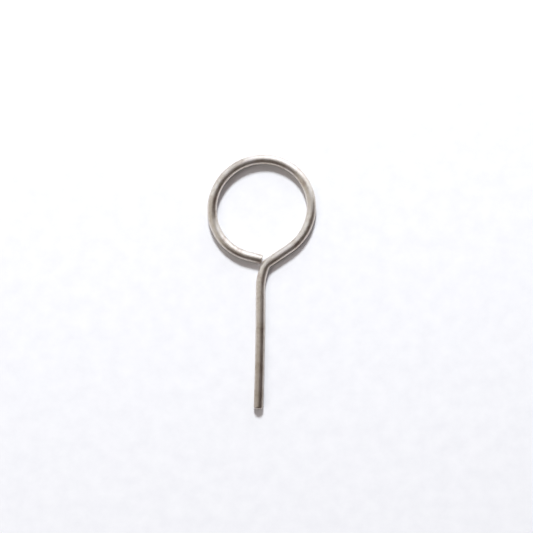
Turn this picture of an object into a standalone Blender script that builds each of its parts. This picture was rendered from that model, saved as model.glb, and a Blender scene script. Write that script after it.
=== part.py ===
"""Inoculating loop: one length of round metal wire, bent flat.

The wire runs from a cut free end round a slightly oval ring, leaves the ring in a
short straight run, turns through the neck and ends in a long stem with a square-cut tip.
It lies flat on its underside, with the ring towards +Y and the stem towards -Y.
"""

import math

import bmesh
import bpy
from mathutils import Vector

MM = 0.001

# The wire
WIRE_DIAMETER = 1.0 * MM

# The ring. Angles are measured anticlockwise from +X about the ring's centre.
RING_INNER_DIAMETER = 9.5 * MM  # mean of the widest and the narrowest way across
RING_OVAL = 0.09 * MM  # how far the longest half-axis exceeds the mean one
RING_OVAL_ANGLE = math.radians(35)  # direction of the longest half-axis
RING_LEAVE_ANGLE = math.radians(-56)  # where the wire leaves the ring for the neck

# The free end of the ring
FREE_END_STRAIGHT = 1.5 * MM  # last stretch, which the bending tool leaves straight
FREE_END_CORNER = 0.2 * MM  # corner radius of the cut and tumbled end
END_GAP = 0.06 * MM  # clearance between the cut end and the neck

# The neck: a tight bend into the stem, followed by a gentle one
NECK_BEND_INNER_RADIUS = 0.75 * MM
NECK_BEND_TURN = math.radians(35)
NECK_SWEEP_RADIUS = 6.4 * MM

# The stem
STEM_OFFSET = -0.14 * MM  # where the stem's top lies, beside the ring's centre
STEM_LENGTH = 12.7 * MM
STEM_BOW = math.radians(-2.0)  # slight bend over the stem's whole length
STEM_TIP_CORNER = 0.25 * MM  # corner radius of the cut and tumbled tip

# How finely the curves are cut into flat faces
WIRE_SIDES = 20  # a multiple of 4, so that one face points straight down
RING_STEPS = 64
STRAIGHT_STEPS = 2
NECK_BEND_STEPS = 10
NECK_SWEEP_STEPS = 8
STEM_STEPS = 8
FREE_END_STEPS = 4
STEM_TIP_STEPS = 5

WIRE_RADIUS = WIRE_DIAMETER / 2
RING_RADIUS = RING_INNER_DIAMETER / 2 + WIRE_RADIUS
NECK_BEND_RADIUS = NECK_BEND_INNER_RADIUS + WIRE_RADIUS
STEM_HEADING = math.radians(-90)

WIRE_COLOR = (0.52, 0.48, 0.43, 1.0)
WIRE_ROUGHNESS = 0.28


def remove_everything():
    for thing in list(bpy.data.objects):
        bpy.data.objects.remove(thing, do_unlink=True)


def ring_station(angle):
    """Point on the ring's centreline at this angle, with the heading of clockwise travel."""
    swing = 2 * (angle - RING_OVAL_ANGLE)
    radius = RING_RADIUS + RING_OVAL * math.cos(swing)
    slope = -2 * RING_OVAL * math.sin(swing)
    x = radius * math.cos(angle)
    y = radius * math.sin(angle)
    east = radius * math.sin(angle) - slope * math.cos(angle)
    north = -radius * math.cos(angle) - slope * math.sin(angle)
    return x, y, math.atan2(north, east)


def follow(start, length, turn, steps):
    """Stations along an arc of this length from a start station; a turn of 0 is a straight."""
    x, y, heading = start
    bit = turn / steps
    chord = length / steps
    if bit:
        chord *= math.sin(bit / 2) / (bit / 2)
    stations = []
    for _ in range(steps):
        x += chord * math.cos(heading + bit / 2)
        y += chord * math.sin(heading + bit / 2)
        heading += bit
        stations.append((x, y, heading))
    return stations


def neck_and_stem():
    """Stations from the end of the ring to the stem's tip.

    The straight run before the neck gets the length that puts the stem at STEM_OFFSET.
    """
    leave = ring_station(RING_LEAVE_ANGLE)
    x, _, heading = leave
    middle = heading + NECK_BEND_TURN
    sweep_turn = math.remainder(STEM_HEADING - middle, 2 * math.pi)
    bend_shift = NECK_BEND_RADIUS * (math.sin(middle) - math.sin(heading))
    sweep_shift = NECK_SWEEP_RADIUS * (math.sin(STEM_HEADING) - math.sin(middle))
    run_length = (STEM_OFFSET - x - bend_shift - sweep_shift) / math.cos(heading)

    stations = follow(leave, run_length, 0, STRAIGHT_STEPS)
    stations += follow(stations[-1], NECK_BEND_RADIUS * NECK_BEND_TURN, NECK_BEND_TURN, NECK_BEND_STEPS)
    stations += follow(stations[-1], NECK_SWEEP_RADIUS * sweep_turn, sweep_turn, NECK_SWEEP_STEPS)
    stations += follow(stations[-1], STEM_LENGTH, STEM_BOW, STEM_STEPS)
    return stations


def free_end_station(angle):
    """Middle of the cut face, when the ring's curve begins at this angle."""
    x, y, heading = ring_station(angle)
    x -= FREE_END_STRAIGHT * math.cos(heading)
    y -= FREE_END_STRAIGHT * math.sin(heading)
    return x, y, heading


def distance_to_path(point, stations):
    """Shortest distance from a point to the line through the stations."""
    best = math.inf
    for (ax, ay, _), (bx, by, _) in zip(stations, stations[1:]):
        start = Vector((ax, ay))
        along = Vector((bx, by)) - start
        share = (point - start).dot(along) / along.length_squared
        nearest = start + along * min(max(share, 0), 1)
        best = min(best, (point - nearest).length)
    return best


def free_end_clearance(angle, neck):
    """Gap between the rounded corners of the cut end, in the wire's plane, and the neck's flank."""
    x, y, heading = free_end_station(angle)
    ahead = Vector((math.cos(heading), math.sin(heading)))
    left = ahead.orthogonal()
    middle = Vector((x, y)) + ahead * FREE_END_CORNER
    reach = left * (WIRE_RADIUS - FREE_END_CORNER)
    nearest = min(distance_to_path(middle + reach, neck), distance_to_path(middle - reach, neck))
    return nearest - FREE_END_CORNER - WIRE_RADIUS


def ring_start_angle(neck):
    """Ring angle at which the free end stops END_GAP short of the neck."""
    angle = math.radians(180)
    step = math.radians(4)
    finest_step = math.radians(0.0001)
    while step > finest_step:
        if free_end_clearance(angle + step, neck) > END_GAP:
            angle += step
        else:
            step /= 2
    return angle


def centreline():
    """Every station of the wire's centreline, from the cut end to the stem's tip."""
    neck = neck_and_stem()
    start = ring_start_angle(neck)
    sweep = start - RING_LEAVE_ANGLE
    free_end = free_end_station(start)
    stations = [free_end]
    stations += follow(free_end, FREE_END_STRAIGHT, 0, STRAIGHT_STEPS)[:-1]
    for step in range(RING_STEPS + 1):
        stations.append(ring_station(start - sweep * step / RING_STEPS))
    return stations + neck


def end_rings(corner, steps):
    """Setback from the end face and shrinkage of the radius, round the corner of an end."""
    rings = []
    for step in range(steps + 1):
        angle = math.radians(90) * step / steps
        rings.append((corner * (1 - math.sin(angle)), corner * (1 - math.cos(angle))))
    return rings


def add_ring(mesh, station, along, radius):
    """Add one cross-section at a station, moved this far along the wire."""
    x, y, heading = station
    ahead = Vector((math.cos(heading), math.sin(heading), 0))
    left = Vector((-math.sin(heading), math.cos(heading), 0))
    axis_height = WIRE_RADIUS * math.cos(math.pi / WIRE_SIDES)
    middle = Vector((x, y, axis_height))
    vertices = []
    for side in range(WIRE_SIDES):
        angle = 2 * math.pi * (side + 0.5) / WIRE_SIDES
        place = middle + ahead * along + left * radius * math.cos(angle)
        place.z += radius * math.sin(angle)
        vertices.append(mesh.verts.new(place))
    return vertices


def wire_mesh():
    """Closed tube along the centreline, with both ends rounded to their own corner."""
    stations = centreline()
    mesh = bmesh.new()
    rings = []
    for setback, shrink in reversed(end_rings(FREE_END_CORNER, FREE_END_STEPS)):
        rings.append(add_ring(mesh, stations[0], setback, WIRE_RADIUS - shrink))
    for station in stations[1:-1]:
        rings.append(add_ring(mesh, station, 0, WIRE_RADIUS))
    for setback, shrink in end_rings(STEM_TIP_CORNER, STEM_TIP_STEPS):
        rings.append(add_ring(mesh, stations[-1], -setback, WIRE_RADIUS - shrink))

    for first, second in zip(rings, rings[1:]):
        for side in range(WIRE_SIDES):
            after = (side + 1) % WIRE_SIDES
            mesh.faces.new((first[side], first[after], second[after], second[side]))
    mesh.faces.new(rings[0])
    mesh.faces.new(rings[-1])
    bmesh.ops.recalc_face_normals(mesh, faces=mesh.faces)
    stand_on_origin(mesh)
    return mesh


def stand_on_origin(mesh):
    """Centre the wire over the origin, with its underside at zero height."""
    lowest = Vector(min(vertex.co[axis] for vertex in mesh.verts) for axis in range(3))
    highest = Vector(max(vertex.co[axis] for vertex in mesh.verts) for axis in range(3))
    middle = (lowest + highest) / 2
    middle.z = lowest.z
    bmesh.ops.translate(mesh, vec=-middle, verts=mesh.verts)


def wire_material():
    material = bpy.data.materials.new("drawn_wire")
    material.use_nodes = True
    shader = material.node_tree.nodes["Principled BSDF"]
    shader.inputs["Base Color"].default_value = WIRE_COLOR
    shader.inputs["Metallic"].default_value = 1.0
    shader.inputs["Roughness"].default_value = WIRE_ROUGHNESS
    return material


def make_loop_wire():
    data = bpy.data.meshes.new("loop_wire")
    mesh = wire_mesh()
    mesh.to_mesh(data)
    mesh.free()
    data.materials.append(wire_material())
    data.shade_smooth()
    data.set_sharp_from_angle(angle=math.radians(35))
    wire = bpy.data.objects.new("loop_wire", data)
    bpy.context.scene.collection.objects.link(wire)


remove_everything()
make_loop_wire()
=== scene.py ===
"""Finished look of the bent wire inoculating loop, lying on white paper by a window."""

import math

import bpy
import numpy as np
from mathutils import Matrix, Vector


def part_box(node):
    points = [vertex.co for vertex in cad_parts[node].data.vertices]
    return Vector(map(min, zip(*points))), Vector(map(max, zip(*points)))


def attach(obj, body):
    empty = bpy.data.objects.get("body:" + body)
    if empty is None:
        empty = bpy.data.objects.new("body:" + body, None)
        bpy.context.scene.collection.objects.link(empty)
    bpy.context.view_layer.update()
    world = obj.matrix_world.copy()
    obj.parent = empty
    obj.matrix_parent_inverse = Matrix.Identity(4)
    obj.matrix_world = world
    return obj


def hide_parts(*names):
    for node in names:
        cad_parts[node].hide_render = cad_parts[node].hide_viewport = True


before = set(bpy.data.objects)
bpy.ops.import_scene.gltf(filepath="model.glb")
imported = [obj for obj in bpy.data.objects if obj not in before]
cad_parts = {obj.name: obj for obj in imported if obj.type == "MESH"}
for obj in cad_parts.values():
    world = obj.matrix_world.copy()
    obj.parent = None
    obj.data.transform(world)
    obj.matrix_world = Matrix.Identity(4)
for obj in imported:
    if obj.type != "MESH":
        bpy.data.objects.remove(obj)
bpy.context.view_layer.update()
wire_low, wire_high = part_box("loop_wire")
scene = bpy.context.scene
MM = 0.001

# ---------------------------------------------------------------------------
# The camera: held level above the loop, a hand's length up, looking straight down.
# The loop lies a little to the left of the view's middle and below it.
# ---------------------------------------------------------------------------
CAMERA_HEIGHT = 150 * MM
VIEW_WIDTH = 56.7 * MM  # how much of the paper the camera takes in
SENSOR_WIDTH = 36.0  # in mm, as a lens is
VIEW_MIDDLE_RIGHT_OF_LOOP = 0.506 * MM
VIEW_MIDDLE_ABOVE_LOOP = 1.617 * MM
NEAREST_SEEN = 1 * MM
FARTHEST_SEEN = 10.0

wire_middle = (wire_low + wire_high) / 2
camera_data = bpy.data.cameras.new("camera")
camera_data.sensor_width = SENSOR_WIDTH
camera_data.lens = SENSOR_WIDTH * CAMERA_HEIGHT / VIEW_WIDTH
camera_data.clip_start = NEAREST_SEEN
camera_data.clip_end = FARTHEST_SEEN
camera = bpy.data.objects.new("camera", camera_data)
camera.location = (
    wire_middle.x + VIEW_MIDDLE_RIGHT_OF_LOOP,
    wire_middle.y + VIEW_MIDDLE_ABOVE_LOOP,
    wire_middle.z + CAMERA_HEIGHT,
)
scene.collection.objects.link(camera)
scene.camera = camera
scene.view_settings.view_transform = "Standard"

# ---------------------------------------------------------------------------
# The wire: one length of round drawn metal wire, formed cold round pins in one plane.
# It starts at the cut end, goes clockwise round the ring, through the neck and down
# the stem. Both ends were cut square and then tumbled, which rounded their corners.
# ---------------------------------------------------------------------------
WIRE_RADIUS = 0.5 * MM
RING_INNER_DIAMETER = 9.5 * MM  # mean of the widest and the narrowest way across
RING_OVAL = 0.09 * MM  # how far the longest half-axis exceeds the mean one
RING_OVAL_ANGLE = math.radians(35)
RING_START_ANGLE = math.radians(254.23)  # ends the wire just short of the neck
RING_LEAVE_ANGLE = math.radians(-56)
FREE_END_STRAIGHT = 1.5 * MM  # last stretch, which the bending tool leaves straight
FREE_END_CORNER = 0.2 * MM
NECK_BEND_RADIUS = 1.25 * MM
NECK_BEND_TURN = math.radians(35)
NECK_SWEEP_RADIUS = 6.4 * MM
STEM_OFFSET = -0.14 * MM  # where the stem's top lies, beside the ring's centre
STEM_BOW = math.radians(-2.0)  # slight bend over the stem's whole length
STEM_HEADING = math.radians(-90)
STEM_TIP_CORNER = 0.25 * MM

RING_LIFT = 0.2 * MM  # the ring is not quite flat: here it stands highest off the paper
RING_LIFT_ANGLE = math.radians(150)
RING_LIFT_REACH = math.radians(75)  # how far round the ring the lift runs out, either way

WIRE_SIDES = 64
STATION_SPACING = 0.1 * MM
CORNER_STEPS = 12  # sections round the corner of an end
FACE_STEPS = 6  # sections from the corner to the middle of an end face
FACE_DOME = 0.012 * MM  # how far an end face bulges
FACE_MIDDLE_SHARE = 0.03  # radius of the last section of an end face, as a share of the wire's
WAVINESS = 0.014 * MM  # height of the very shallow lumps in its skin
WAVINESS_LENGTH = 2.2 * MM
NOISE_MIDDLE = 0.5  # mean value of a noise texture
PIN_FLAT = 0.035 * MM  # how deep the bending pin pressed into the inside of the neck
NECK_SWELLING = 0.03  # how much taller the wire got there, as a share of its height
UNMARKED_BEND = 1.3  # how sharp a bend shows no mark, in times the ring's own bend
MARKED_BEND = 3.3  # and how sharp a bend shows it in full
MARK_FADE = 4  # sections over which the mark is softened
BURR_TURN = math.radians(140)  # where the burr stands, round the wire from its left
BURR_WIDTH = math.radians(50)  # how far round the wire it runs out, either way
BURR_SHARE = 0.86  # share of the wire's radius at which the burr is highest
BURR_HEIGHT = 0.07 * MM
BURR_SPREAD = 0.03 * MM  # how far it flares outwards
BURR_TEETH = 23
BURR_RAGGEDNESS = 0.25  # half the depth of the gaps between its teeth, as a share of its height

ring_radius = RING_INNER_DIAMETER / 2 + WIRE_RADIUS


def ring_radius_at(angle):
    return ring_radius + RING_OVAL * math.cos(2 * (angle - RING_OVAL_ANGLE))


def ring_station(angle):
    """Point on the ring's centreline, from the ring's centre, and the clockwise heading there."""
    radius = ring_radius_at(angle)
    slope = -2 * RING_OVAL * math.sin(2 * (angle - RING_OVAL_ANGLE))
    east = radius * math.sin(angle) - slope * math.cos(angle)
    north = -radius * math.cos(angle) - slope * math.sin(angle)
    return radius * math.cos(angle), radius * math.sin(angle), math.atan2(north, east)


def follow(start, length, turn=0.0):
    """Stations along an arc or a straight, evenly spaced and about STATION_SPACING apart."""
    x, y, heading = start
    steps = max(2, round(length / STATION_SPACING))
    stations = []
    for _ in range(steps):
        x += length / steps * math.cos(heading + turn / steps / 2)
        y += length / steps * math.sin(heading + turn / steps / 2)
        heading += turn / steps
        stations.append((x, y, heading))
    return stations


def wire_stations():
    """Centreline stations from the cut end to the stem's tip, from the ring's centre."""
    x, y, heading = ring_station(RING_START_ANGLE)
    x -= FREE_END_STRAIGHT * math.cos(heading)
    y -= FREE_END_STRAIGHT * math.sin(heading)
    stations = [(x, y, heading)]
    stations += follow(stations[-1], FREE_END_STRAIGHT)[:-1]

    ring_turn = RING_START_ANGLE - RING_LEAVE_ANGLE
    ring_steps = round(ring_radius * ring_turn / STATION_SPACING)
    for step in range(ring_steps + 1):
        stations.append(ring_station(RING_START_ANGLE - ring_turn * step / ring_steps))

    x, _, heading = stations[-1]
    middle = heading + NECK_BEND_TURN
    sweep_turn = math.remainder(STEM_HEADING - middle, 2 * math.pi)
    bend_shift = NECK_BEND_RADIUS * (math.sin(middle) - math.sin(heading))
    sweep_shift = NECK_SWEEP_RADIUS * (math.sin(STEM_HEADING) - math.sin(middle))
    run_length = (STEM_OFFSET - x - bend_shift - sweep_shift) / math.cos(heading)
    stations += follow(stations[-1], run_length)
    stations += follow(stations[-1], NECK_BEND_RADIUS * NECK_BEND_TURN, NECK_BEND_TURN)
    stations += follow(stations[-1], NECK_SWEEP_RADIUS * sweep_turn, sweep_turn)

    ring_top = ring_radius_at(math.radians(90)) + WIRE_RADIUS
    stem_length = stations[-1][1] - (ring_top - (wire_high.y - wire_low.y))
    return stations + follow(stations[-1], stem_length, STEM_BOW)


def end_sections(corner):
    """Setback from the end and share of the wire's radius, from an end face's middle outwards."""
    sections = []
    flat = 1 - corner / WIRE_RADIUS
    for step in range(FACE_STEPS):
        share = FACE_MIDDLE_SHARE + (flat - FACE_MIDDLE_SHARE) * step / FACE_STEPS
        sections.append((-FACE_DOME * (1 - (share / flat) ** 2), share))
    for step in range(CORNER_STEPS + 1):
        angle = math.radians(90) * step / CORNER_STEPS
        sections.append((corner * (1 - math.cos(angle)), flat + (1 - flat) * math.sin(angle)))
    return sections


def moved_along(station, distance):
    x, y, heading = station
    return x + distance * math.cos(heading), y + distance * math.sin(heading), heading


def wire_sections():
    """Every cross-section of the wire: x, y, heading and share of the wire's radius."""
    stations = wire_stations()
    start, tip = stations[0], stations[-1]
    clear_of_start = math.ceil(FREE_END_CORNER / STATION_SPACING) + 1
    clear_of_tip = math.ceil(STEM_TIP_CORNER / STATION_SPACING) + 1
    sections = []
    for setback, share in end_sections(FREE_END_CORNER):
        sections.append((*moved_along(start, setback), share))
    for station in stations[clear_of_start:-clear_of_tip]:
        sections.append((*station, 1.0))
    for setback, share in reversed(end_sections(STEM_TIP_CORNER)):
        sections.append((*moved_along(tip, -setback), share))
    return sections


def lift_at(x, y):
    """How far the wire stands off the paper at this place, from the ring's centre."""
    away = abs(math.remainder(math.atan2(y, x) - RING_LIFT_ANGLE, 2 * math.pi))
    if away > RING_LIFT_REACH or math.hypot(x, y) > ring_radius + WIRE_RADIUS:
        return 0.0
    return RING_LIFT * math.cos(away / RING_LIFT_REACH * math.pi / 2) ** 2


def wire_path(sections):
    """A line of edges through the sections' middles, in place over the paper."""
    ring_top = ring_radius_at(math.radians(90)) + WIRE_RADIUS
    left = (wire_low.x + wire_high.x) / 2
    up = wire_high.y - ring_top
    points = [(x + left, y + up, WIRE_RADIUS + lift_at(x, y)) for x, y, _, _ in sections]
    path = bpy.data.meshes.new("wire_path")
    path.from_pydata(points, [(i, i + 1) for i in range(len(points) - 1)], [])
    share = path.attributes.new("share", "FLOAT", "POINT")
    share.data.foreach_set("value", [section[3] for section in sections])
    return path


def new_node(tree, kind, **settings):
    """Add a node; settings are its own properties, and those named in_N its input N's value."""
    node = tree.nodes.new(kind)
    for name, value in settings.items():
        if name.startswith("in_"):
            node.inputs[int(name[3:])].default_value = value
        else:
            setattr(node, name, value)
    return node


def maths(tree, operation, first, second=0.0):
    """What one operation makes of two values, each a number or a socket."""
    node = new_node(tree, "ShaderNodeMath", operation=operation)
    for socket, value in zip(node.inputs, (first, second)):
        if isinstance(value, (int, float)):
            socket.default_value = value
        else:
            tree.links.new(value, socket)
    return node.outputs[0]


def drawing_tree():
    """Geometry nodes that draw the wire along its path."""
    tree = bpy.data.node_groups.new("draw_wire", "GeometryNodeTree")
    tree.interface.new_socket("Path", in_out="INPUT", socket_type="NodeSocketGeometry")
    for name in ("Wire Radius", "Waviness", "Waviness Length"):
        tree.interface.new_socket(name, in_out="INPUT", socket_type="NodeSocketFloat")
    tree.interface.new_socket("Sides", in_out="INPUT", socket_type="NodeSocketInt")
    tree.interface.new_socket("Finish", in_out="INPUT", socket_type="NodeSocketMaterial")
    tree.interface.new_socket("Wire", in_out="OUTPUT", socket_type="NodeSocketGeometry")
    link = tree.links.new
    given = tree.nodes.new("NodeGroupInput")
    result = tree.nodes.new("NodeGroupOutput")

    curve = new_node(tree, "GeometryNodeMeshToCurve")
    upright = new_node(tree, "GeometryNodeSetCurveNormal", mode="Z_UP")
    section = new_node(tree, "GeometryNodeCurvePrimitiveCircle")
    share = new_node(tree, "GeometryNodeInputNamedAttribute", data_type="FLOAT", in_0="share")
    swept = new_node(tree, "GeometryNodeCurveToMesh", in_3=True)
    link(given.outputs["Path"], curve.inputs["Mesh"])
    link(curve.outputs[0], upright.inputs["Curve"])
    link(given.outputs["Sides"], section.inputs["Resolution"])
    link(given.outputs["Wire Radius"], section.inputs["Radius"])
    link(upright.outputs[0], swept.inputs["Curve"])
    link(section.outputs[0], swept.inputs["Profile Curve"])
    link(share.outputs[0], swept.inputs["Scale"])

    lumps = new_node(tree, "ShaderNodeTexNoise", noise_dimensions="3D", in_3=1.0)
    outwards = new_node(tree, "GeometryNodeInputNormal")
    offset = new_node(tree, "ShaderNodeVectorMath", operation="SCALE")
    moved = new_node(tree, "GeometryNodeSetPosition")
    link(maths(tree, "DIVIDE", 1.0, given.outputs["Waviness Length"]), lumps.inputs["Scale"])
    off_middle = maths(tree, "SUBTRACT", lumps.outputs["Fac"], NOISE_MIDDLE)
    link(maths(tree, "MULTIPLY", off_middle, given.outputs["Waviness"]), offset.inputs["Scale"])
    link(outwards.outputs[0], offset.inputs[0])
    link(swept.outputs[0], moved.inputs["Geometry"])
    link(offset.outputs[0], moved.inputs["Offset"])

    real = new_node(tree, "GeometryNodeRealizeInstances")
    finish = new_node(tree, "GeometryNodeSetMaterial")
    link(moved.outputs[0], real.inputs[0])
    link(real.outputs[0], finish.inputs["Geometry"])
    link(given.outputs["Finish"], finish.inputs["Material"])
    link(finish.outputs[0], result.inputs[0])
    return tree


def as_plain_mesh(guide, name):
    """The evaluated object as a mesh of its own; the guide and its modifiers are removed."""
    depsgraph = bpy.context.evaluated_depsgraph_get()
    mesh = bpy.data.meshes.new_from_object(guide.evaluated_get(depsgraph))
    bpy.data.objects.remove(guide)
    mesh.name = name
    piece = bpy.data.objects.new(name, mesh)
    scene.collection.objects.link(piece)
    return piece


def draw_wire(sections, finish):
    """Run the tree over the path and return the wire as a plain mesh object."""
    guide = bpy.data.objects.new("wire_path", wire_path(sections))
    scene.collection.objects.link(guide)
    modifier = guide.modifiers.new("draw_wire", "NODES")
    modifier.node_group = drawing_tree()
    values = {
        "Wire Radius": WIRE_RADIUS,
        "Waviness": WAVINESS,
        "Waviness Length": WAVINESS_LENGTH,
        "Sides": WIRE_SIDES,
        "Finish": finish,
    }
    for item in modifier.node_group.interface.items_tree:
        if item.name in values:
            modifier[item.identifier] = values[item.name]
    return as_plain_mesh(guide, "bent_wire")


def softened(values, reach):
    """The values, each averaged with its neighbours up to this many places away."""
    weights = np.hanning(2 * reach + 3)[1:-1]
    return np.convolve(values, weights / weights.sum(), mode="same")


def sharpness_of_bend(headings, along):
    """How sharply each section was bent, from 0 on the ring and the stem to 1 in the neck."""
    spacing = np.maximum(np.gradient(along), STATION_SPACING / 2)
    turning = np.abs(np.gradient(np.unwrap(headings))) / spacing
    marked = np.interp(turning * ring_radius, (UNMARKED_BEND, MARKED_BEND), (0, 1))
    return np.clip(softened(marked, MARK_FADE), 0, 1)


def bump_shape(offset, reach):
    """1 where the offset is 0, falling smoothly to 0 at the reach, either way."""
    return np.cos(np.clip(np.abs(offset) / reach, 0, 1) * math.pi / 2) ** 2


def unroll(mesh, turn, along):
    """Give the wire a UV map: U is turns round the wire and V is millimetres along it."""
    corner_vertex = np.empty(len(mesh.loops), int)
    mesh.loops.foreach_get("vertex_index", corner_vertex)
    u = (turn / (2 * math.pi) % 1).ravel()[corner_vertex]
    v = along.ravel()[corner_vertex] / MM
    half_turn = 0.5
    for face in mesh.polygons:
        corners = list(face.loop_indices)
        crosses_seam = max(u[corners]) - min(u[corners]) > half_turn
        if crosses_seam:
            for corner in corners:
                u[corner] += u[corner] < half_turn
    uv_map = mesh.uv_layers.new(name="round_and_along")
    uv_map.data.foreach_set("uv", np.stack([u, v], axis=1).ravel())


def work_the_wire(mesh, sections):
    """Press the bending tool's marks into the neck and raise the burr on the cut end.

    Also store what the finish follows: straight_place, which is across, up and along the
    wire as it was before bending, bend_sharpness, and the UV map.
    """
    count = len(sections)
    points = np.empty(len(mesh.vertices) * 3)
    mesh.vertices.foreach_get("co", points)
    points = points.reshape(count, WIRE_SIDES, 3)
    middles = points.mean(axis=1)
    headings = np.array([section[2] for section in sections])
    ahead = np.stack([np.cos(headings), np.sin(headings), np.zeros(count)], axis=1)
    left = np.stack([-np.sin(headings), np.cos(headings), np.zeros(count)], axis=1)
    across = ((points - middles[:, None]) * left[:, None]).sum(axis=2)
    up = points[:, :, 2] - middles[:, None, 2]
    steps = np.linalg.norm(np.diff(middles, axis=0), axis=1)
    along = np.concatenate([[0], np.cumsum(steps)])
    sharpness = sharpness_of_bend(headings, along)[:, None]
    turn = np.arctan2(up, across)

    # The neck was bent leftwards round a pin, which pressed its inside flat and made it taller.
    pressed = np.minimum(across, WIRE_RADIUS - PIN_FLAT * sharpness)
    swollen = up * (1 + NECK_SWELLING * sharpness)

    # The cut was made from below, so the burr stands on the upper, inner corner.
    share = np.array([section[3] for section in sections])[:, None]
    at_start = (np.arange(count) < count // 2)[:, None]
    round_the_wire = bump_shape(turn - BURR_TURN, BURR_WIDTH)
    near_the_edge = bump_shape(share - BURR_SHARE, 1 - BURR_SHARE)
    burr = round_the_wire * near_the_edge * at_start
    ragged = 1 - BURR_RAGGEDNESS + BURR_RAGGEDNESS * np.cos(turn * BURR_TEETH)
    moved = left[:, None] * (pressed + across / WIRE_RADIUS * burr * BURR_SPREAD)[:, :, None]
    moved = moved - ahead[:, None] * (burr * ragged * BURR_HEIGHT)[:, :, None]
    moved[:, :, 2] += swollen + up / WIRE_RADIUS * burr * BURR_SPREAD
    mesh.vertices.foreach_set("co", (middles[:, None] + moved).ravel())

    along = np.repeat(along[:, None], WIRE_SIDES, axis=1)
    place = mesh.attributes.new("straight_place", "FLOAT_VECTOR", "POINT")
    place.data.foreach_set("vector", np.stack([across, up, along], axis=2).ravel())
    bent = mesh.attributes.new("bend_sharpness", "FLOAT", "POINT")
    bent.data.foreach_set("value", np.repeat(sharpness, WIRE_SIDES, axis=1).ravel())
    unroll(mesh, turn, along)


def mark_cut_faces(mesh, count):
    """Give the flat of both ends the second material."""
    for face in mesh.polygons:
        section_numbers = [vertex // WIRE_SIDES for vertex in face.vertices]
        if max(section_numbers) <= FACE_STEPS or min(section_numbers) >= count - 1 - FACE_STEPS:
            face.material_index = 1


def shader_material(name):
    material = bpy.data.materials.new(name)
    material.use_nodes = True
    return material, material.node_tree, material.node_tree.nodes["Principled BSDF"]


def place_in_mm(tree):
    """Where a point was on the straight wire: across, up and along, in millimetres."""
    place = new_node(tree, "ShaderNodeAttribute", attribute_name="straight_place")
    in_mm = new_node(tree, "ShaderNodeVectorMath", operation="SCALE")
    in_mm.inputs["Scale"].default_value = 1 / MM
    tree.links.new(place.outputs["Vector"], in_mm.inputs[0])
    return in_mm.outputs[0]


def noise_of(tree, vector, scale, detail=3.0, roughness=0.55):
    noise = new_node(tree, "ShaderNodeTexNoise")
    noise.inputs["Scale"].default_value = scale
    noise.inputs["Detail"].default_value = detail
    noise.inputs["Roughness"].default_value = roughness
    tree.links.new(vector, noise.inputs["Vector"])
    return noise.outputs["Fac"]


def die_lines_group():
    """Lines along the wire, so many to the millimetre, each of about the given length in mm."""
    tree = bpy.data.node_groups.new("die_lines", "ShaderNodeTree")
    tree.interface.new_socket("Place", in_out="INPUT", socket_type="NodeSocketVector")
    tree.interface.new_socket("Per Millimetre", in_out="INPUT", socket_type="NodeSocketFloat")
    tree.interface.new_socket("Length", in_out="INPUT", socket_type="NodeSocketFloat")
    tree.interface.new_socket("Lines", in_out="OUTPUT", socket_type="NodeSocketFloat")
    link = tree.links.new
    given = tree.nodes.new("NodeGroupInput")
    result = tree.nodes.new("NodeGroupOutput")
    scales = new_node(tree, "ShaderNodeCombineXYZ")
    stretched = new_node(tree, "ShaderNodeVectorMath", operation="MULTIPLY")
    link(given.outputs["Per Millimetre"], scales.inputs["X"])
    link(given.outputs["Per Millimetre"], scales.inputs["Y"])
    link(maths(tree, "DIVIDE", 1.0, given.outputs["Length"]), scales.inputs["Z"])
    link(given.outputs["Place"], stretched.inputs[0])
    link(scales.outputs[0], stretched.inputs[1])
    link(noise_of(tree, stretched.outputs[0], 1.0, detail=2.5, roughness=0.6), result.inputs[0])
    return tree


def stretched_to(tree, value, low, high, to_low=0.0, to_high=1.0, **settings):
    """The value, remapped from low..high to to_low..to_high and kept inside that."""
    node = new_node(tree, "ShaderNodeMapRange", **settings)
    limits = {"From Min": low, "From Max": high, "To Min": to_low, "To Max": to_high}
    for name, number in limits.items():
        node.inputs[name].default_value = number
    tree.links.new(value, node.inputs["Value"])
    return node.outputs[0]


def sum_of(tree, *terms):
    """Sum of value * weight, over (value, weight) pairs."""
    total = None
    for value, weight in terms:
        node = new_node(tree, "ShaderNodeMath", operation="MULTIPLY_ADD")
        node.inputs[1].default_value = weight
        node.inputs[2].default_value = 0.0
        tree.links.new(value, node.inputs[0])
        if total:
            tree.links.new(total, node.inputs[2])
        total = node.outputs[0]
    return total


def tinted(tree, value, stops):
    """The value, through a colour ramp of (position, colour) stops."""
    ramp = new_node(tree, "ShaderNodeValToRGB")
    elements = ramp.color_ramp.elements
    while len(elements) < len(stops):
        elements.new(0.5)
    for element, (position, color) in zip(elements, stops):
        element.position = position
        element.color = (*color, 1)
    tree.links.new(value, ramp.inputs["Fac"])
    return ramp.outputs["Color"]


def darkened(tree, color, amount, strength):
    """The colour, multiplied towards a brown by the amount (0 to 1) times the strength."""
    scaled = sum_of(tree, (amount, strength))
    mix = new_node(tree, "ShaderNodeMix", data_type="RGBA", blend_type="MULTIPLY")
    mix.inputs[7].default_value = (*GRIME_AND_SHADE_COLOR, 1)
    tree.links.new(scaled, mix.inputs["Factor"])
    tree.links.new(color, mix.inputs[6])
    return mix.outputs[2]


def bumped(tree, height, distance, strength):
    bump = new_node(tree, "ShaderNodeBump")
    bump.inputs["Strength"].default_value = strength
    bump.inputs["Distance"].default_value = distance
    tree.links.new(height, bump.inputs["Height"])
    return bump.outputs[0]


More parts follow.
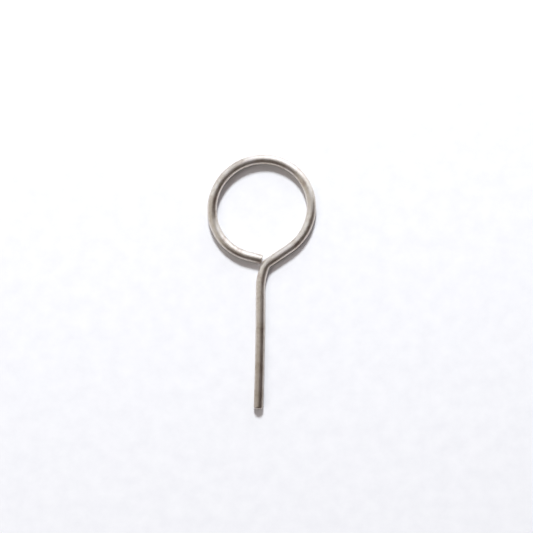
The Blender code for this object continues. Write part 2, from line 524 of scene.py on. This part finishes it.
# The finish, with lengths in millimetres. A pair says where a mark begins and where it is full.
DIE_LINES = {"fine": (34, 3.0), "broad": (9, 7.0), "long": (15, 16.0)}  # per mm, and length
GRIMY_LINES = (0.5, 0.75)  # the deepest of the fine lines hold grime
SCORES = (0.62, 0.72)  # the deepest of the long lines are scores
PITS_PER_MM = 5.5
PIT_RIM_AND_FLOOR = (0.22, 0.10)  # in shares of the space between two pits
PIT_PATCHES_PER_MM = 0.9
PIT_PATCHES = (0.56, 0.66)
ORANGE_PEEL_PER_MM = 13  # the roughened skin of the bend
OXIDE_CLOUDS = ((0.55, 2.0, 0.55), (2.6, 4.0, 0.3))  # per mm, detail and strength
OXIDE_LINES = 0.15  # how strongly the broad die lines show in the oxide
OXIDE_TINTS = (
    (0.36, (0.56, 0.475, 0.42)),
    (0.45, (0.70, 0.64, 0.565)),
    (0.52, (0.79, 0.735, 0.67)),
    (0.64, (0.85, 0.80, 0.76)),
)
STEM_PAINTED_SHADE = (35, 47)  # along the wire; painted shade: the stem is darkened to stand in for its darker reflection, and the ring is left as it is
DARK_PATCH_EDGE_PER_MM = 2.2
DARK_PATCH_RAGGEDNESS = 2.0
DARK_PATCH_ALONG = (-0.3, 0.9)  # the wire is darker just before the cut end
DARK_PATCH_ACROSS = (-0.15, 0.25)  # and on the ring's outer side
# The brown that grime and the painted shade on the stem darken towards.
GRIME_AND_SHADE_COLOR = (0.30, 0.24, 0.19)
ROUGHNESS = 0.17
# What each mark does: how dark it is, how much roughness it adds, and how high it stands.
# Grime darkens the lines, scores and pits; the stem's darkening is painted shade, not grime.
GRIME_AND_SHADE = {"grimy_lines": 0.16, "scores": 0.3, "pits": 0.6, "painted_stem_shade": 0.43, "darker_by_cut": 0.45}
ROUGHENING = {"fine": 0.06, "broad": 0.06, "oxide": 0.16, "pits": 0.2, "peel": 0.1}
RELIEF = {"fine": 0.5, "broad": 1.0, "scores": -1.2, "pits": -3.0, "peel": 2.5}
RELIEF_DEPTH = 0.0035 * MM
RELIEF_STRENGTH = 0.8
SHEEN_ALONG_LINES = 0.8


def surface_marks(tree):
    """Everything that marks the wire's surface, by name, each a value from 0 to about 1."""
    link = tree.links.new
    place = place_in_mm(tree)
    parts = new_node(tree, "ShaderNodeSeparateXYZ")
    link(place, parts.inputs[0])

    marks = {}
    group = die_lines_group()
    for name, (per_mm, length) in DIE_LINES.items():
        node = new_node(tree, "ShaderNodeGroup", node_tree=group)
        node.inputs["Per Millimetre"].default_value = per_mm
        node.inputs["Length"].default_value = length
        link(place, node.inputs["Place"])
        marks[name] = node.outputs[0]
    marks["grimy_lines"] = stretched_to(tree, marks["fine"], *GRIMY_LINES)
    marks["scores"] = stretched_to(tree, marks["long"], *SCORES)

    spots = new_node(tree, "ShaderNodeTexVoronoi", feature="F1")
    spots.inputs["Scale"].default_value = PITS_PER_MM
    link(place, spots.inputs["Vector"])
    near_spot = stretched_to(tree, spots.outputs["Distance"], *PIT_RIM_AND_FLOOR)
    in_patch = stretched_to(tree, noise_of(tree, place, PIT_PATCHES_PER_MM), *PIT_PATCHES)
    marks["pits"] = maths(tree, "MULTIPLY", near_spot, in_patch)

    bent = new_node(tree, "ShaderNodeAttribute", attribute_name="bend_sharpness").outputs["Fac"]
    peel = noise_of(tree, place, ORANGE_PEEL_PER_MM, detail=1.5)
    marks["peel"] = maths(tree, "MULTIPLY", peel, bent)

    clouds = []
    for per_mm, detail, strength in OXIDE_CLOUDS:
        clouds.append((noise_of(tree, place, per_mm, detail), strength))
    marks["oxide"] = sum_of(tree, *clouds, (marks["broad"], OXIDE_LINES))

    # Painted shade: the stem is darkened from 35 mm along the wire, standing in for its darker
    # reflection.
    marks["painted_stem_shade"] = stretched_to(tree, parts.outputs["Z"], *STEM_PAINTED_SHADE)
    # The wire is darker just before the cut end, on the ring's outer side, with a ragged edge.
    dark_patch_edge = noise_of(tree, place, DARK_PATCH_EDGE_PER_MM)
    before_cut = sum_of(tree, (parts.outputs["Z"], -1.0), (dark_patch_edge, DARK_PATCH_RAGGEDNESS))
    near_cut = stretched_to(tree, before_cut, *DARK_PATCH_ALONG)
    outer_side = stretched_to(tree, parts.outputs["X"], *DARK_PATCH_ACROSS)
    marks["darker_by_cut"] = maths(tree, "MULTIPLY", near_cut, outer_side)
    return marks


def marks_summed(tree, marks, weights):
    """Sum of the marks that the weights name, each times its weight."""
    return sum_of(tree, *((marks[name], weight) for name, weight in weights.items()))


def drawn_wire_finish():
    """Bright nickel-chromium wire: die lines along it, a patchy warm oxide, pits, grime and painted
    shade on the stem.
    """
    material, tree, shader = shader_material("drawn_wire")
    link = tree.links.new
    marks = surface_marks(tree)
    color = tinted(tree, marks["oxide"], OXIDE_TINTS)
    # Grime, pits and scores darken the colour, and so does the painted shade on the stem.
    for name, strength in GRIME_AND_SHADE.items():
        color = darkened(tree, color, marks[name], strength)
    link(color, shader.inputs["Base Color"])

    rough = marks_summed(tree, marks, ROUGHENING)
    rough = stretched_to(tree, rough, 0.0, 1.0, ROUGHNESS, ROUGHNESS + 1.0)
    link(rough, shader.inputs["Roughness"])
    height = marks_summed(tree, marks, RELIEF)
    link(bumped(tree, height, RELIEF_DEPTH, RELIEF_STRENGTH), shader.inputs["Normal"])

    tangent = new_node(tree, "ShaderNodeTangent", direction_type="UV_MAP", uv_map="round_and_along")
    link(tangent.outputs[0], shader.inputs["Tangent"])
    shader.inputs["Anisotropic"].default_value = SHEEN_ALONG_LINES
    shader.inputs["Metallic"].default_value = 1.0
    return material


# The cut faces: the blade scraped the upper part, and the rest broke off.
SCRAPES_PER_MM = (22, 1.2, 1.2)  # across, up and along
GRAINS_PER_MM = 16
BREAK_EDGE_PER_MM = 3
BREAK_EDGE_RAGGEDNESS = 0.35
BREAK_EDGE = (0.14, 0.06)  # heights over the wire's middle, in millimetres
BREAK_GRIME = 0.35
CUT_TINTS = ((0.35, (0.50, 0.46, 0.41)), (0.65, (0.80, 0.76, 0.71)))
CUT_ROUGHNESS = (0.38, 0.55)  # of the scraped part and of the broken part
CUT_RELIEF_DEPTH = 0.02 * MM
CUT_RELIEF_STRENGTH = 0.9


def cut_end_finish():
    """Sheared metal, tumbled dull: scrape lines in the upper part, a grainy break below it."""
    material, tree, shader = shader_material("cut_end")
    link = tree.links.new
    place = place_in_mm(tree)
    parts = new_node(tree, "ShaderNodeSeparateXYZ")
    link(place, parts.inputs[0])
    scrape_place = new_node(tree, "ShaderNodeVectorMath", operation="MULTIPLY")
    scrape_place.inputs[1].default_value = SCRAPES_PER_MM
    link(place, scrape_place.inputs[0])
    scrapes = noise_of(tree, scrape_place.outputs[0], 1.0)
    grain = noise_of(tree, place, GRAINS_PER_MM, detail=5.0, roughness=0.7)

    edge = noise_of(tree, place, BREAK_EDGE_PER_MM)
    ragged_up = sum_of(tree, (parts.outputs["Y"], 1.0), (edge, BREAK_EDGE_RAGGEDNESS))
    broken = stretched_to(tree, ragged_up, *BREAK_EDGE)
    relief = new_node(tree, "ShaderNodeMix", data_type="FLOAT")
    link(broken, relief.inputs["Factor"])
    link(scrapes, relief.inputs[2])
    link(grain, relief.inputs[3])

    color = darkened(tree, tinted(tree, relief.outputs[0], CUT_TINTS), broken, BREAK_GRIME)
    link(color, shader.inputs["Base Color"])
    link(stretched_to(tree, broken, 0, 1, *CUT_ROUGHNESS), shader.inputs["Roughness"])
    bump = bumped(tree, relief.outputs[0], CUT_RELIEF_DEPTH, CUT_RELIEF_STRENGTH)
    link(bump, shader.inputs["Normal"])
    shader.inputs["Metallic"].default_value = 1.0
    return material


sections = wire_sections()
wire = draw_wire(sections, drawn_wire_finish())
wire.data.materials.append(cut_end_finish())
work_the_wire(wire.data, sections)
mark_cut_faces(wire.data, len(sections))
wire.data.shade_smooth()
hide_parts("loop_wire")
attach(wire, "root")

# ---------------------------------------------------------------------------
# The paper: a plain sheet of white copier paper under the loop, larger than the view.
# ---------------------------------------------------------------------------
PAPER_SIZE = 3.0  # in metres
PAPER_TINTS = ((0.3, (0.785, 0.79, 0.835)), (0.7, (0.83, 0.835, 0.875)))
PAPER_CLOUDS_PER_METRE = 600
PAPER_TOOTH_PER_METRE = 9000
PAPER_TOOTH_DEPTH = 0.01 * MM
PAPER_TOOTH_STRENGTH = 0.3
PAPER_ROUGHNESS = 0.7


def paper_finish():
    """Uncoated white paper: a faint fibre cloudiness and a fine tooth."""
    material, tree, shader = shader_material("white_paper")
    link = tree.links.new
    place = new_node(tree, "ShaderNodeTexCoord").outputs["Object"]
    clouds = noise_of(tree, place, PAPER_CLOUDS_PER_METRE, detail=5.0, roughness=0.6)
    tooth = noise_of(tree, place, PAPER_TOOTH_PER_METRE, detail=2.0, roughness=0.5)
    link(tinted(tree, clouds, PAPER_TINTS), shader.inputs["Base Color"])
    bump = bumped(tree, tooth, PAPER_TOOTH_DEPTH, PAPER_TOOTH_STRENGTH)
    link(bump, shader.inputs["Normal"])
    shader.inputs["Roughness"].default_value = PAPER_ROUGHNESS
    return material


half = PAPER_SIZE / 2
paper_corners = [(-half, -half, 0), (half, -half, 0), (half, half, 0), (-half, half, 0)]
paper_data = bpy.data.meshes.new("paper")
paper_data.from_pydata(paper_corners, [], [(0, 1, 2, 3)])
paper_data.materials.append(paper_finish())
paper = bpy.data.objects.new("paper", paper_data)
scene.collection.objects.link(paper)

# ---------------------------------------------------------------------------
# The light: a lamp beyond the ring, a wider and weaker one on the left, and a room that is
# bright on the window's side and dark where someone leans over the paper with a camera.
# Azimuths run anticlockwise from +X. Lengths are in metres and powers in watts.
# ---------------------------------------------------------------------------
LAMP_DISTANCE = 0.5
KEY_AZIMUTH = math.radians(93)
KEY_ELEVATION = math.radians(41)
KEY_WIDTH = 0.09
KEY_POWER = 3.12
KEY_COLOR = (0.95, 0.99, 1.0)
FILL_AZIMUTH = math.radians(192)
FILL_ELEVATION = math.radians(52)
FILL_WIDTH = 0.25
FILL_POWER = 0.40
FILL_COLOR = (1.0, 0.955, 0.895)
ROOM_COLOR = (0.62, 0.59, 0.55)
BACKDROP_COLOR = (0.93, 0.94, 0.96)
PAPER_SHARE = (0.40, 0.345, 0.31)  # how much of the room's light the paper gets

# Soft-edged parts of the room, laid over each other in this order. Each has a middle azimuth
# and a half-width, a lowest and a highest elevation, the softness of its upright and of its
# level edges, all in degrees, and a colour.
CARDS = {
    "window_side": ((90, 78), (-10, 86), (12, 8), (1.04, 1.07, 1.12)),
    "window": ((67, 31), (-10, 50), (16, 10), (2.0, 2.06, 2.25)),
    "onlooker": ((295, 74), (-20, 70), (10, 8), (0.088, 0.066, 0.060)),
    "onlooker_head": ((300, 54), (55, 120), (14, 8), (0.088, 0.066, 0.060)),
}
# The camera and the arm that holds it are a dark oval strip across the zenith.
CAMERA_STRIP_AZIMUTH = math.radians(107)  # the way it is long
CAMERA_STRIP_HALF_SIZES = (math.radians(5.5), math.radians(29))  # across it and along it
CAMERA_STRIP_TILT = math.radians(1)  # how far its middle is from the zenith
CAMERA_STRIP_SOFTNESS = 0.3  # as a share of its half-sizes
CAMERA_STRIP_COLOR = (0.078, 0.060, 0.054)


def pointing(azimuth, elevation):
    """Unit vector towards an azimuth and an elevation."""
    flat = math.cos(elevation)
    return Vector((math.cos(azimuth) * flat, math.sin(azimuth) * flat, math.sin(elevation)))


def dot_with(tree, source, axis):
    node = new_node(tree, "ShaderNodeVectorMath", operation="DOT_PRODUCT")
    node.inputs[1].default_value = axis
    tree.links.new(source, node.inputs[0])
    return node.outputs["Value"]


def falling(tree, value, middle, softness):
    """1 below the middle value, 0 above it, with a soft step of this half-width."""
    limits = (middle - softness, middle + softness, 1.0, 0.0)
    return stretched_to(tree, value, *limits, interpolation_type="SMOOTHSTEP")


def card_mask(tree, direction, elevation, azimuths, elevations, softness):
    """1 on a card, 0 off it. The elevation is the direction's; the others are the card's."""
    middle, half_width = azimuths
    flat = new_node(tree, "ShaderNodeVectorMath", operation="MULTIPLY")
    flat.inputs[1].default_value = (1, 1, 0)
    tree.links.new(direction, flat.inputs[0])
    level = new_node(tree, "ShaderNodeVectorMath", operation="NORMALIZE")
    tree.links.new(flat.outputs[0], level.inputs[0])
    towards_middle = dot_with(tree, level.outputs[0], pointing(math.radians(middle), 0))
    off_middle = maths(tree, "ARCCOSINE", towards_middle)
    within = falling(tree, off_middle, math.radians(half_width), math.radians(softness[0]))
    below_top = falling(tree, elevation, math.radians(elevations[1]), math.radians(softness[1]))
    below_foot = falling(tree, elevation, math.radians(elevations[0]), math.radians(softness[1]))
    above_foot = maths(tree, "SUBTRACT", 1.0, below_foot)
    return maths(tree, "MULTIPLY", within, maths(tree, "MULTIPLY", below_top, above_foot))


def strip_mask(tree, direction):
    """1 on the dark oval strip across the zenith, 0 off it."""
    across_axis = pointing(CAMERA_STRIP_AZIMUTH + math.radians(90), 0)
    along_axis = pointing(CAMERA_STRIP_AZIMUTH, -CAMERA_STRIP_TILT)
    squares = []
    for axis, half_size in zip((across_axis, along_axis), CAMERA_STRIP_HALF_SIZES):
        share = maths(tree, "DIVIDE", dot_with(tree, direction, axis), math.sin(half_size))
        squares.append(maths(tree, "POWER", share, 2))
    off_middle = maths(tree, "SQRT", maths(tree, "ADD", *squares))
    on_strip = falling(tree, off_middle, 1, CAMERA_STRIP_SOFTNESS)
    overhead = maths(tree, "GREATER_THAN", dot_with(tree, direction, (0, 0, 1)), 0)
    return maths(tree, "MULTIPLY", overhead, on_strip)


def laid_over(tree, below, mask, color):
    mix = new_node(tree, "ShaderNodeMix", data_type="RGBA")
    tree.links.new(mask, mix.inputs["Factor"])
    tree.links.new(below, mix.inputs[6])
    mix.inputs[7].default_value = (*color, 1)
    return mix.outputs[2]


def light_room():
    """The room as the metal sees it, dimmer for the paper and plain behind everything."""
    world = bpy.data.worlds.new("room")
    scene.world = world
    world.use_nodes = True
    tree = world.node_tree
    direction = new_node(tree, "ShaderNodeTexCoord").outputs["Generated"]
    elevation = maths(tree, "ARCSINE", dot_with(tree, direction, (0, 0, 1)))
    room = new_node(tree, "ShaderNodeRGB")
    room.outputs[0].default_value = (*ROOM_COLOR, 1)
    color = room.outputs[0]
    for azimuths, elevations, softness, card_color in CARDS.values():
        mask = card_mask(tree, direction, elevation, azimuths, elevations, softness)
        color = laid_over(tree, color, mask, card_color)
    color = laid_over(tree, color, strip_mask(tree, direction), CAMERA_STRIP_COLOR)
    rays = new_node(tree, "ShaderNodeLightPath")
    dimmed = new_node(tree, "ShaderNodeMix", data_type="RGBA", blend_type="MULTIPLY")
    dimmed.inputs[7].default_value = (*PAPER_SHARE, 1)
    tree.links.new(rays.outputs["Is Diffuse Ray"], dimmed.inputs["Factor"])
    tree.links.new(color, dimmed.inputs[6])
    color = laid_over(tree, dimmed.outputs[2], rays.outputs["Is Camera Ray"], BACKDROP_COLOR)
    tree.links.new(color, tree.nodes["Background"].inputs["Color"])


def hang_lamp(name, azimuth, elevation, width, power, color):
    """A round soft lamp, aimed at the wire. The metal reflects the room's cards, not the lamps."""
    light = bpy.data.lights.new(name, "AREA")
    light.shape = "DISK"
    light.size = width
    light.energy = power
    light.color = color
    lamp = bpy.data.objects.new(name, light)
    towards = pointing(azimuth, elevation)
    lamp.location = wire_middle + towards * LAMP_DISTANCE
    lamp.rotation_mode = "QUATERNION"
    lamp.rotation_quaternion = towards.to_track_quat("Z", "Y")
    lamp.visible_glossy = False
    scene.collection.objects.link(lamp)


light_room()
hang_lamp("key", KEY_AZIMUTH, KEY_ELEVATION, KEY_WIDTH, KEY_POWER, KEY_COLOR)
hang_lamp("fill", FILL_AZIMUTH, FILL_ELEVATION, FILL_WIDTH, FILL_POWER, FILL_COLOR)
